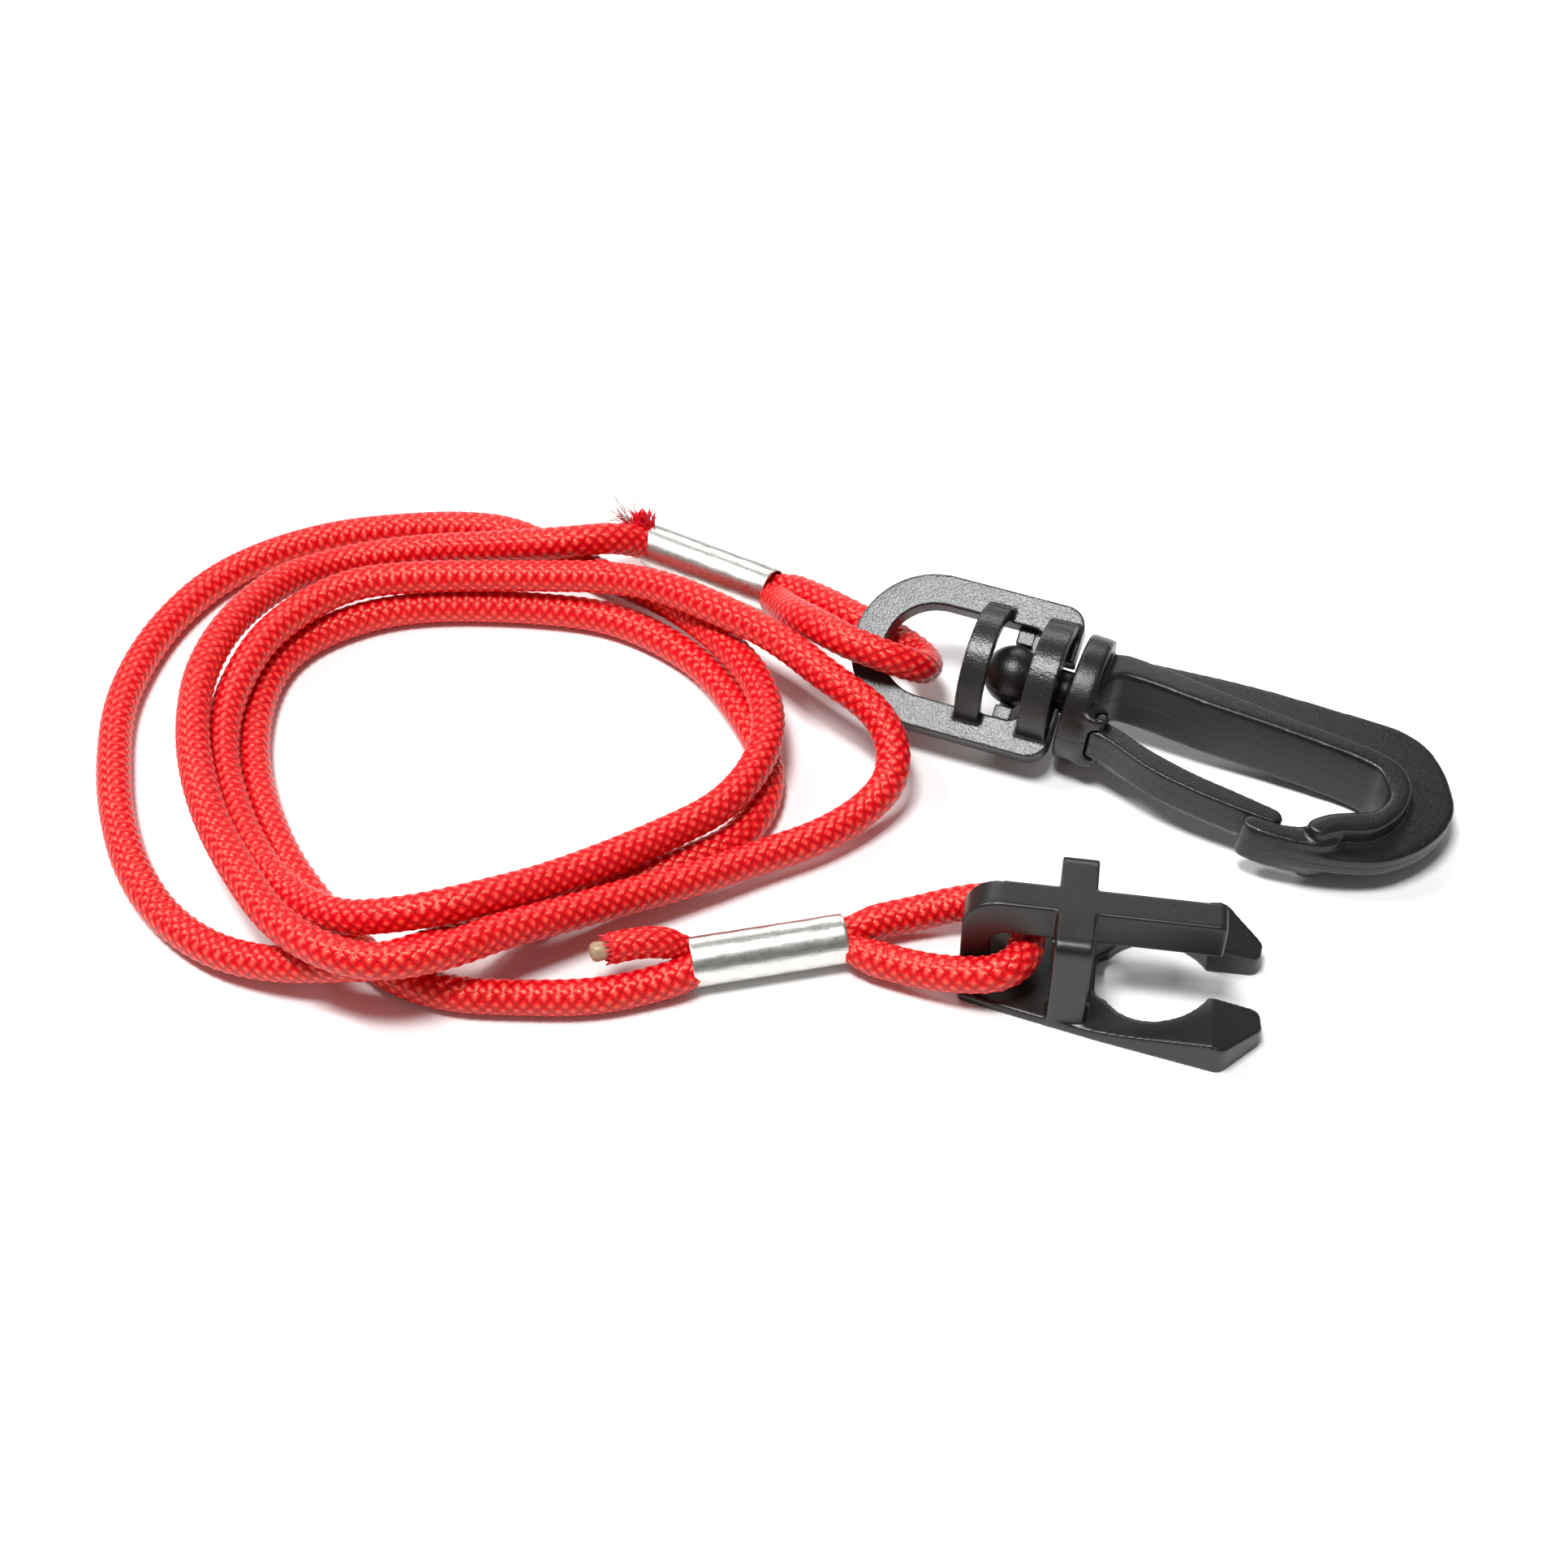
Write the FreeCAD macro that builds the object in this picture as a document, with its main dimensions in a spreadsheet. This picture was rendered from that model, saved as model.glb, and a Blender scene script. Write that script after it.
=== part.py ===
"""Engine kill-switch lanyard: a braided cord with a swivel snap hook at one end and a stop key at the other.

Frame: millimetres, +Z up. The lanyard lies on a flat surface at z = 0. The origin is on that surface, under
the middle of the rigid pieces (ferrules, hook and key). The loose turns of the cord lie towards -X.
The hook, the swivel eye and the key are each drawn in a frame of their own: local X runs along the piece,
local Y across it and local Z up through it. Their placements then lay them down.
"""
import FreeCAD, Part
import math
import os
import Sketcher
from FreeCAD import Placement, Rotation, Vector

doc = FreeCAD.newDocument("lanyard")

# ---------------------------------------------------------------- driving dimensions

SIZES = {
    # cord and ferrules
    "cord_diameter": 4.2,
    "tail_diameter": 3.0,
    "core_diameter": 2.2,
    "ferrule_diameter": 5.8,
    "ferrule_bore": 4.7,
    "ferrule_lip": 0.35,
    "squeezed_diameter": 4.6,
    # swivel spindle of the hook
    "ball_radius": 3.7,
    "ball_middle": 10.6,
    "shank_radius": 2.6,
    "flange_radius": 7.8,
    "flange_thickness": 3.2,
    # hook
    "wing_thickness": 2.8,
    "rim_height": 8.2,
    "nose_height": 5.4,
    "seat_radius": 1.65,
    "seat_height": 4.5,
    "trunnion_bore_radius": 0.9,
    # gate
    "gate_height": 4.2,
    "knuckle_radius": 1.45,
    "trunnion_radius": 0.82,
    "trunnion_length": 7.4,
    # swivel eye
    "eye_thickness": 2.8,
    "eye_half_width": 9.9,
    "eye_opening_half_width": 6.0,
    "hoop_radius": 7.7,
    "hoop_bore": 6.15,
    "rear_hoop_width": 3.1,
    "front_hoop_width": 3.5,
    "web_thickness": 3.3,
    "neck_bore": 3.2,
    "neck_length": 5.8,
    "cradle_radius": 7.4,
    "cradle_bore": 4.05,
    "cradle_width": 2.2,
    # stop key
    "key_base_height": 4.15,
    "key_bar_width": 3.6,
    "key_cross_width": 4.1,
    "key_cutout_radius": 6.5,
    "key_cut_width": 26.0,
}

sheet = doc.addObject("Spreadsheet::Sheet", "sizes")
for row, (alias, value) in enumerate(SIZES.items(), start=1):
    sheet.set(f"A{row}", alias)
    sheet.set(f"B{row}", str(value))
    sheet.setAlias(f"B{row}", alias)
doc.recompute()


def size(alias):
    """The value that the spreadsheet holds under this alias."""
    return float(sheet.get(alias))


# ---------------------------------------------------------------- where the pieces lie

HOOK_YAW = -20.9
HOOK_TILT = -5.4
HOOK_ORIGIN = Vector(7.8, 6.5, 7.78)
EYE_TILT = -1.0
EYE_ROLL = 29.5
KEY_YAW = -8.5
KEY_ORIGIN = Vector(1.88, -30.22, 0.0)

FERRULE_HOOK_END = (Vector(-47.5, 41.0, 3.4), Vector(-31.5, 30.8, 4.4))
FERRULE_KEY_END = (Vector(-40.5, -30.2, 2.9), Vector(-23.2, -26.6, 2.9))


def lay_down(origin, yaw, tilt=0.0, roll=0.0):
    """Placement of a piece: turned about Z, then its far end raised, then rolled about its own length."""
    turn = Rotation(Vector(0, 0, 1), yaw)
    raise_end = Rotation(Vector(0, 1, 0), -tilt)
    roll_over = Rotation(Vector(1, 0, 0), roll)
    return Placement(origin, turn.multiply(raise_end).multiply(roll_over))


HOOK_PLACE = lay_down(HOOK_ORIGIN, HOOK_YAW, HOOK_TILT)
BALL_MIDDLE = HOOK_PLACE.multVec(Vector(-size("ball_middle"), 0, 0))
EYE_TURN = lay_down(Vector(0, 0, 0), HOOK_YAW, EYE_TILT, EYE_ROLL)
EYE_ORIGIN = BALL_MIDDLE - EYE_TURN.multVec(Vector(-size("ball_middle"), 0, 0))
EYE_PLACE = lay_down(EYE_ORIGIN, HOOK_YAW, EYE_TILT, EYE_ROLL)
KEY_PLACE = lay_down(KEY_ORIGIN, KEY_YAW)

# ---------------------------------------------------------------- routes of the cord

# The loose turns, from the hook's ferrule to the key's ferrule.
LAY_ROUTE = [
    (-47.5, 40.9, 3.4), (-52.0, 38.9, 6.6), (-59.5, 36.9, 7.2), (-68.5, 38.4, 5.4),
    (-76.5, 39.4, 4.2), (-84.0, 38.4, 3.8), (-90.0, 35.9, 4.2), (-95.0, 30.9, 5.8),
    (-99.0, 21.9, 7.8), (-101.0, 12.4, 8.8), (-101.0, 4.4, 8.6), (-99.5, -3.6, 8.4),
    (-96.0, -13.1, 8.2), (-91.5, -21.1, 8.4), (-86.0, -29.6, 9.2), (-79.5, -34.6, 9.8),
    (-73.0, -36.1, 9.8), (-66.5, -33.6, 9.0), (-61.0, -29.6, 7.8), (-54.5, -26.1, 6.4),
    (-47.5, -22.1, 5.0), (-40.0, -18.6, 4.0), (-32.5, -14.6, 3.4), (-26.0, -11.6, 3.2),
    (-20.5, -7.6, 3.6), (-17.0, -3.6, 5.0), (-17.0, 0.9, 7.2), (-19.5, 4.9, 8.8),
    (-24.5, 8.4, 10.0), (-30.5, 14.9, 10.6), (-37.5, 20.4, 10.2), (-45.5, 26.4, 9.2),
    (-53.0, 29.9, 7.6), (-61.5, 30.9, 6.8), (-70.0, 31.4, 6.4), (-78.0, 31.4, 6.2),
    (-85.5, 29.9, 6.4), (-91.0, 25.4, 6.4), (-95.0, 19.9, 6.4), (-97.0, 13.4, 6.2),
    (-98.0, 7.4, 5.6), (-97.5, 0.4, 5.2), (-95.0, -7.6, 5.0), (-91.0, -16.1, 5.2),
    (-86.0, -22.6, 5.8), (-80.0, -27.1, 7.0), (-74.0, -28.6, 9.0), (-68.0, -28.1, 9.8),
    (-62.0, -25.6, 9.2), (-56.5, -22.1, 7.6), (-50.0, -18.1, 6.8), (-43.5, -13.6, 6.2),
    (-37.5, -9.6, 6.2), (-33.5, -4.1, 6.6), (-31.5, 3.4, 6.6), (-33.0, 11.9, 6.4),
    (-38.0, 20.4, 5.8), (-44.5, 28.4, 4.6), (-53.0, 34.9, 3.0), (-60.0, 40.9, 2.2),
    (-66.5, 45.4, 2.2), (-74.0, 46.4, 2.2), (-82.0, 45.9, 2.2), (-90.0, 44.4, 2.2),
    (-98.0, 40.9, 2.2), (-104.5, 35.4, 2.2), (-109.0, 27.9, 2.2), (-111.5, 19.9, 2.2),
    (-112.5, 11.4, 2.2), (-111.5, 2.9, 2.2), (-109.5, -6.1, 2.2), (-106.0, -15.1, 2.2),
    (-101.0, -22.6, 2.2), (-94.5, -28.1, 2.6), (-87.0, -31.1, 3.6), (-79.5, -32.6, 5.6),
    (-73.5, -33.1, 6.6), (-68.0, -30.1, 6.2), (-63.0, -27.1, 4.2), (-58.0, -22.6, 2.8),
    (-52.5, -19.6, 2.2), (-46.5, -17.1, 2.2), (-40.5, -14.1, 2.2), (-35.0, -10.6, 2.2),
    (-32.0, -4.1, 2.2), (-32.0, 2.9, 2.2), (-35.0, 10.4, 2.2), (-39.5, 18.4, 2.2),
    (-46.0, 24.4, 2.2), (-53.0, 28.4, 2.2), (-62.0, 29.9, 2.2), (-70.5, 30.4, 2.2),
    (-78.5, 29.9, 2.2), (-85.0, 27.9, 2.2), (-91.0, 23.9, 2.2), (-94.5, 18.4, 2.2),
    (-95.5, 10.9, 2.2), (-94.5, 1.9, 2.2), (-91.5, -7.1, 2.2), (-87.5, -15.1, 2.2),
    (-83.0, -21.6, 2.2), (-79.0, -26.6, 2.2), (-73.5, -31.6, 2.2), (-67.0, -34.1, 2.2),
    (-59.5, -34.6, 2.2), (-51.5, -34.6, 2.2), (-45.5, -33.1, 2.2), (-40.5, -31.6, 2.8),
]

# The loop through the swivel eye, in the eye's own frame: over the end bar and back under it.
EYE_LOOP = [
    (-45.7, 3.3, -7.6), (-42.5, 1.3, -3.7), (-39.1, -0.1, 0.7), (-34.8, -1.6, 3.9),
    (-30.6, -2.8, 4.9), (-27.0, -3.3, 4.8), (-24.0, -3.2, 3.9), (-21.6, -2.7, 1.9),
    (-21.2, -1.5, -1.0), (-22.6, 0.2, -3.5), (-25.6, 1.7, -4.8), (-29.2, 2.6, -5.1),
    (-32.8, 3.3, -5.0), (-37.0, 4.7, -6.6), (-41.1, 6.1, -8.5), (-45.0, 6.9, -9.6),
]

# The loop through the key's arch, in the key's own frame.
KEY_LOOP = [
    (-25.1, -2.3, 2.9), (-20.7, -2.8, 2.8), (-16.1, -3.7, 3.2), (-11.6, -4.5, 4.1),
    (-7.7, -4.6, 5.0), (-5.1, -2.3, 5.5), (-4.9, 1.8, 5.5), (-5.9, 5.2, 5.4),
    (-9.4, 6.6, 4.9), (-14.0, 6.3, 3.5), (-18.0, 5.0, 2.7), (-21.8, 3.6, 2.7),
    (-25.3, 2.1, 2.9),
]

# ---------------------------------------------------------------- drawing helpers

DEFAULT_CORNER = 0.45


def corner(before, point, after, radius=None):
    """Arc that rounds one corner, as its two ends and its middle. With no radius it takes 0.45 of the shorter
    side from the corner."""
    back = before - point
    ahead = after - point
    shorter = min(back.Length, ahead.Length)
    back.normalize()
    ahead.normalize()
    half_turn = (math.pi - back.getAngle(ahead)) / 2
    reach = DEFAULT_CORNER * shorter if radius is None else radius * math.tan(half_turn)
    arc_radius = reach / math.tan(half_turn)
    inward = back + ahead
    inward.normalize()
    middle = point + inward * (math.hypot(reach, arc_radius) - arc_radius)
    return point + back * reach, middle, point + ahead * reach, arc_radius


def closed_outline(points, radii=None):
    """Lines and tangent arcs round a closed outline. radii maps a corner's index to its radius."""
    radii = radii or {}
    corners = []
    for index, point in enumerate(points):
        before = Vector(*points[index - 1], 0)
        after = Vector(*points[(index + 1) % len(points)], 0)
        corners.append(corner(before, Vector(*point, 0), after, radii.get(index)))
    pieces = []
    for index, (start, middle, end, _) in enumerate(corners):
        previous_end = corners[index - 1][2]
        if previous_end.distanceToPoint(start) > 1e-6:
            pieces.append(Part.LineSegment(previous_end, start))
        pieces.append(Part.Arc(start, middle, end))
    return pieces


def new_body(label, place):
    body = doc.addObject("PartDesign::Body", label)
    body.Label = label
    body.Placement = place
    return body


def new_sketch(body, name, role="XY_Plane", offset=0.0):
    """Sketch on one of the body's own origin planes, moved along the plane's normal."""
    plane = next(feature for feature in body.Origin.OriginFeatures if feature.Role == role)
    sketch = body.newObject("Sketcher::SketchObject", name)
    sketch.AttachmentSupport = [(plane, "")]
    sketch.MapMode = "FlatFace"
    sketch.AttachmentOffset = Placement(Vector(0, 0, offset), Rotation())
    return sketch


def outline_sketch(body, name, points, radii=None, role="XY_Plane", offset=0.0):
    sketch = new_sketch(body, name, role, offset)
    sketch.addGeometry(closed_outline(points, radii), False)
    return sketch


def circle_sketch(body, name, middle, alias, role="XY_Plane", offset=0.0):
    """Circle whose radius is bound to a cell of the spreadsheet."""
    sketch = new_sketch(body, name, role, offset)
    add_circle(sketch, middle, alias)
    return sketch


def add_circle(sketch, middle, alias):
    index = sketch.addGeometry(Part.Circle(Vector(*middle, 0), Vector(0, 0, 1), size(alias)), False)
    constraint = sketch.addConstraint(Sketcher.Constraint("Radius", index, size(alias)))
    sketch.renameConstraint(constraint, alias)
    sketch.setExpression(f"Constraints.{alias}", f"sizes.{alias}")


def half_ring_sketch(body, name, outer, inner, upper, offset):
    """Half of a ring about the length of the piece, above or below its middle plane."""
    sketch = new_sketch(body, name, "YZ_Plane", offset)
    side = 1 if upper else -1
    arcs = []
    for alias in (outer, inner):
        radius = size(alias)
        arcs.append(Part.Arc(Vector(radius, 0, 0), Vector(0, side * radius, 0), Vector(-radius, 0, 0)))
    joins = [
        Part.LineSegment(Vector(size(outer), 0, 0), Vector(size(inner), 0, 0)),
        Part.LineSegment(Vector(-size(outer), 0, 0), Vector(-size(inner), 0, 0)),
    ]
    sketch.addGeometry(arcs + joins, False)
    return sketch


def add_feature(body, kind, name, sketch, alias, midplane=False, reverse=False):
    """Pad or pocket whose length is bound to a cell."""
    feature = body.newObject(f"PartDesign::{kind}", name)
    feature.Profile = sketch
    feature.Length = size(alias)
    feature.setExpression("Length", f"sizes.{alias}")
    feature.Midplane = midplane
    feature.Reversed = reverse
    return feature


def pad(body, name, sketch, alias, midplane=False, reverse=False):
    return add_feature(body, "Pad", name, sketch, alias, midplane, reverse)


def pocket(body, name, sketch, alias, midplane=False, reverse=False):
    return add_feature(body, "Pocket", name, sketch, alias, midplane, reverse)


def revolve(body, name, sketch):
    """Full turn of a half section about the length of the piece."""
    feature = body.newObject("PartDesign::Revolution", name)
    feature.Profile = sketch
    feature.ReferenceAxis = (sketch, ["H_Axis"])
    feature.Angle = 360.0
    return feature


# ---------------------------------------------------------------- hook

GATE_PIVOT = (1.7, -5.9)

WING_OUTLINE = [
    (-1.0, 7.4), (3.1, 8.1), (16.7, 10.1), (29.6, 10.6), (35.0, 10.8), (38.8, 9.4), (41.6, 6.0),
    (43.8, 0.8), (43.4, -3.1), (41.4, -7.4), (37.9, -11.2), (33.6, -13.1), (29.2, -14.2), (25.0, -14.4),
    (24.6, -13.2), (28.4, -12.0), (30.5, -10.3), (33.5, -8.9), (36.4, -6.5), (37.0, -2.5), (35.5, 1.2), (32.0, 2.1),
    (17.0, 2.8), (3.0, 3.7), (-1.0, 3.8),
]

RIM_OUTLINE = [
    (-1.0, 5.6), (5.8, 5.5), (17.4, 4.2), (32.9, 3.3), (36.5, 2.2), (38.3, -1.0), (38.0, -5.5),
    (35.5, -9.6), (31.6, -11.2), (29.5, -13.4), (27.4, -11.9), (29.3, -9.6), (31.5, -8.2), (34.8, -6.6),
    (35.9, -3.5), (35.3, -1.9), (34.1, 0.2), (30.9, 0.9), (21.3, 1.4), (11.7, 1.5), (5.2, 2.0),
    (1.9, 1.8), (0.4, -0.7), (0.2, -3.6), (-1.0, -3.8),
]

NOSE_OUTLINE = [
    (31.6, -10.2), (29.3, -10.2), (27.0, -11.5), (24.7, -12.1), (21.6, -11.9), (20.6, -13.0),
    (21.4, -14.2), (24.0, -14.4), (27.0, -14.2), (30.6, -13.4), (32.4, -11.8),
]

LUG_OUTLINE = [(-1.0, -7.3), (1.9, -7.3), (2.7, -5.9), (1.9, -4.2), (-1.0, -4.2)]
SEAT_MOUTH = [(1.7, -8.2), (3.6, -8.2), (3.6, -3.4), (1.7, -3.4)]
SEAT_MOUTH_CORNER = 0.1

GATE_OUTLINE = [
    (1.7, -7.25), (3.4, -7.6), (8.8, -10.0), (15.3, -11.1), (21.0, -11.5), (24.4, -11.6), (25.3, -10.9),
    (24.6, -9.6), (19.1, -8.8), (13.7, -8.2), (8.0, -6.8), (3.6, -5.0), (1.7, -4.6),
]


def spindle_sketch(body):
    """Half section of ball, shank and flange."""
    sketch = new_sketch(body, "spindle_section")
    middle = Vector(-size("ball_middle"), 0, 0)
    ball = size("ball_radius")
    shank = size("shank_radius")
    flange = size("flange_radius")
    face = -size("flange_thickness")
    ball_end = middle + Vector(math.sqrt(ball**2 - shank**2), shank, 0)
    corners = [(face, shank), (face, flange), (0, flange), (0, 0)]
    points = [ball_end] + [Vector(*corner, 0) for corner in corners]
    pole = middle - Vector(ball, 0, 0)
    edges = [Part.Arc(pole, middle + Vector(0, ball, 0), ball_end)]
    for start, end in zip(points, points[1:] + [pole]):
        edges.append(Part.LineSegment(start, end))
    sketch.addGeometry(edges, False)
    return sketch


def make_hook_body():
    """One moulding: spindle with its ball, wide wing, tall rim round the opening, nose and the gate's lug."""
    body = new_body("hook_body", HOOK_PLACE)
    revolve(body, "spindle", spindle_sketch(body))
    pad(body, "wing", outline_sketch(body, "wing_outline", WING_OUTLINE), "wing_thickness", midplane=True)
    pad(body, "rim", outline_sketch(body, "rim_outline", RIM_OUTLINE), "rim_height", midplane=True)
    pad(body, "nose", outline_sketch(body, "nose_outline", NOSE_OUTLINE), "nose_height", midplane=True)
    pad(body, "lug", outline_sketch(body, "lug_outline", LUG_OUTLINE), "rim_height", midplane=True)
    seat = circle_sketch(body, "seat_circle", GATE_PIVOT, "seat_radius")
    pocket(body, "seat", seat, "seat_height", midplane=True)
    rounds = {index: SEAT_MOUTH_CORNER for index in range(len(SEAT_MOUTH))}
    mouth = outline_sketch(body, "seat_mouth_outline", SEAT_MOUTH, rounds)
    pocket(body, "seat_mouth", mouth, "seat_height", midplane=True)
    bore = circle_sketch(body, "trunnion_bore_circle", GATE_PIVOT, "trunnion_bore_radius")
    pocket(body, "trunnion_bore", bore, "rim_height", midplane=True)
    return body


def make_hook_gate():
    """Sprung tongue that closes the hook, with a knuckle and two short trunnions."""
    body = new_body("hook_gate", HOOK_PLACE)
    pad(body, "blade", outline_sketch(body, "blade_outline", GATE_OUTLINE), "gate_height", midplane=True)
    knuckle = circle_sketch(body, "knuckle_circle", GATE_PIVOT, "knuckle_radius")
    pad(body, "knuckle", knuckle, "gate_height", midplane=True)
    trunnion = circle_sketch(body, "trunnion_circle", GATE_PIVOT, "trunnion_radius")
    pad(body, "trunnions", trunnion, "trunnion_length", midplane=True)
    return body


# ---------------------------------------------------------------- swivel eye

EYE_ENDS = (-30.9, -3.9)
OPENING_ENDS = (-26.9, -8.2)
REAR_HOOP_START = -15.8
FRONT_HOOP_START = -7.9
CRADLE_START = -11.7
NECK_FACE = -3.0
BLUNT_CORNER = 2.6
OPENING_CORNER = 1.5
END_FLAT = 0.01


def slot_corners(ends, half_width):
    return [
        (ends[0], -half_width), (ends[1], -half_width), (ends[1], half_width), (ends[0], half_width),
    ]


def make_swivel_eye():
    """Flat loop with a round far end, two hoops over the ball, a cradle under it and a neck for the shank."""
    body = new_body("swivel_eye", EYE_PLACE)
    half_width = size("eye_half_width")
    plate = outline_sketch(
        body, "plate_outline", slot_corners(EYE_ENDS, half_width),
        {0: half_width - END_FLAT, 1: BLUNT_CORNER, 2: BLUNT_CORNER, 3: half_width - END_FLAT},
    )
    pad(body, "plate", plate, "eye_thickness", midplane=True)
    opening_width = size("eye_opening_half_width")
    opening = outline_sketch(
        body, "opening_outline", slot_corners(OPENING_ENDS, opening_width),
        {0: opening_width - END_FLAT, 1: OPENING_CORNER, 2: OPENING_CORNER, 3: opening_width - END_FLAT},
    )
    pocket(body, "opening", opening, "eye_thickness", midplane=True)
    rear = half_ring_sketch(body, "rear_hoop_section", "hoop_radius", "hoop_bore", True, REAR_HOOP_START)
    pad(body, "rear_hoop", rear, "rear_hoop_width")
    front = half_ring_sketch(body, "front_hoop_section", "hoop_radius", "hoop_bore", True, FRONT_HOOP_START)
    pad(body, "front_hoop", front, "front_hoop_width")
    web = half_ring_sketch(body, "web_section", "hoop_radius", "neck_bore", True, FRONT_HOOP_START)
    pad(body, "web", web, "web_thickness")
    cradle = half_ring_sketch(body, "cradle_section", "cradle_radius", "cradle_bore", False, CRADLE_START)
    pad(body, "cradle", cradle, "cradle_width")
    neck = circle_sketch(body, "neck_circle", (0, 0), "neck_bore", "YZ_Plane", NECK_FACE)
    pocket(body, "neck", neck, "neck_length")
    return body


# ---------------------------------------------------------------- stop key

KEY_BASE_OUTLINE = [
    (-12.2, -4.7), (3.9, -8.3), (17.0, -10.8), (21.3, -6.2), (21.0, -3.6), (3.0, -3.4),
    (3.0, 3.4), (21.0, 3.6), (21.3, 6.2), (17.0, 10.8), (3.9, 8.3), (-12.2, 4.7),
]
KEY_BASE_ROUNDS = {
    0: 1.2, 1: 6.0, 2: 1.4, 3: 1.0, 4: 1.0, 5: 1.5, 6: 1.5, 7: 1.0, 8: 1.0, 9: 1.4, 10: 6.0, 11: 1.2,
}
SHARP = 0.15
KEY_SLOPE = [(-14.0, 1.2), (4.0, 1.2), (15.7, 4.15), (15.7, 6.0), (-14.0, 6.0)]
KEY_SLOPE_ROUNDS = {0: SHARP, 2: SHARP, 3: SHARP, 4: SHARP}
KEY_BEVEL = [(15.7, 4.15), (22.0, 2.6), (24.0, 2.6), (24.0, 6.0), (15.7, 6.0)]
KEY_BEVEL_ROUNDS = {0: SHARP, 1: SHARP, 2: SHARP, 3: SHARP, 4: SHARP}
CUTOUT_MIDDLE = (9.8, 0.0)
ARCH_OUTLINE = [(-12.3, 0.3), (-12.3, 13.5), (16.2, 13.5), (16.2, 8.7), (-9.0, 8.7), (-9.0, 0.3)]
ARCH_ROUNDS = {0: SHARP, 1: 4.2, 2: 0.8, 3: 0.5, 4: 1.6, 5: SHARP}
CROSS_OUTLINE = [
    (-7.1, 0.3), (-7.1, 13.5), (7.1, 13.5), (7.1, 0.3), (4.5, 0.3), (4.5, 8.7), (-4.5, 8.7), (-4.5, 0.3),
]
CROSS_ROUNDS = {0: SHARP, 1: 1.6, 2: 1.6, 3: SHARP, 4: SHARP, 5: 1.2, 6: 1.2, 7: SHARP}


def make_stop_switch_key():
    """Forked base that slides under a stop button, and over it an arch that takes the cord."""
    body = new_body("stop_switch_key", KEY_PLACE)
    base = outline_sketch(body, "base_outline", KEY_BASE_OUTLINE, KEY_BASE_ROUNDS)
    pad(body, "base", base, "key_base_height")
    cutout = circle_sketch(body, "cutout_circle", CUTOUT_MIDDLE, "key_cutout_radius")
    pocket(body, "cutout", cutout, "key_base_height", reverse=True)
    slope = outline_sketch(body, "slope_section", KEY_SLOPE, KEY_SLOPE_ROUNDS, "XZ_Plane")
    pocket(body, "slope", slope, "key_cut_width", midplane=True)
    bevel = outline_sketch(body, "bevel_section", KEY_BEVEL, KEY_BEVEL_ROUNDS, "XZ_Plane")
    pocket(body, "bevel", bevel, "key_cut_width", midplane=True)
    arch = outline_sketch(body, "arch_section", ARCH_OUTLINE, ARCH_ROUNDS, "XZ_Plane")
    pad(body, "arch", arch, "key_bar_width", midplane=True)
    cross = outline_sketch(body, "cross_section", CROSS_OUTLINE, CROSS_ROUNDS, "YZ_Plane")
    pad(body, "cross_bar", cross, "key_cross_width", midplane=True)
    return body


# ---------------------------------------------------------------- ferrules

def along(start, end):
    """Placement at start whose X runs towards end."""
    return Placement(start, Rotation(Vector(1, 0, 0), end - start))


def make_ferrule(label, ends):
    """Crimped metal tube with eased rims."""
    body = new_body(label, along(*ends))
    length = ends[0].distanceToPoint(ends[1])
    outer = size("ferrule_diameter") / 2
    bore = size("ferrule_bore") / 2
    lip = size("ferrule_lip")
    section = new_sketch(body, f"{label}_section")
    corners = [(0, bore), (0, outer - lip), (lip, outer)]
    corners += [(length - lip, outer), (length, outer - lip), (length, bore)]
    points = [Vector(*point, 0) for point in corners]
    edges = [Part.LineSegment(start, end) for start, end in zip(points, points[1:] + points[:1])]
    section.addGeometry(edges, False)
    revolve(body, f"{label}_turn", section)
    return body


def make_squeezed_cord(label, ends):
    """The two strands of the cord, pressed round inside a ferrule."""
    rod = doc.addObject("Part::Cylinder", label)
    rod.Label = label
    rod.Radius = size("squeezed_diameter") / 2
    rod.setExpression("Radius", "sizes.squeezed_diameter / 2")
    rod.Height = ends[0].distanceToPoint(ends[1])
    turn = Rotation(Vector(0, 0, 1), ends[1] - ends[0])
    rod.Placement = Placement(ends[0], turn)
    return rod


# ---------------------------------------------------------------- cord

def cord_path(points):
    """Straight runs joined by tangent arcs, with the arcs' radii."""
    edges = []
    radii = []
    at = points[0]
    for before, point, after in zip(points, points[1:], points[2:]):
        start, middle, end, radius = corner(before, point, after)
        edges.append(Part.LineSegment(at, start).toShape())
        edges.append(Part.Arc(start, middle, end).toShape())
        radii.append(radius)
        at = end
    edges.append(Part.LineSegment(at, points[-1]).toShape())
    return Part.Wire(edges), radii


def make_cord(label, route, alias, place=Placement()):
    """Round tube swept along a route."""
    points = [place.multVec(Vector(*point)) for point in route]
    path, radii = cord_path(points)
    radius = size(alias) / 2
    ring = Part.Wire([Part.Circle(points[0], points[1] - points[0], radius).toShape()])
    tube = doc.addObject("Part::Feature", label)
    tube.Shape = path.makePipeShell([ring], True, False)
    tube.Label = label
    section_times_length = math.pi * radius**2 * path.Length
    print(
        f"{label}: length {path.Length:.1f} mm, smallest radius {min(radii):.1f} mm, "
        f"volume {tube.Shape.Volume / section_times_length:.4f} of section times length"
    )
    print("  radii " + " ".join(f"{value:.0f}" for value in radii))
    return tube


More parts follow.
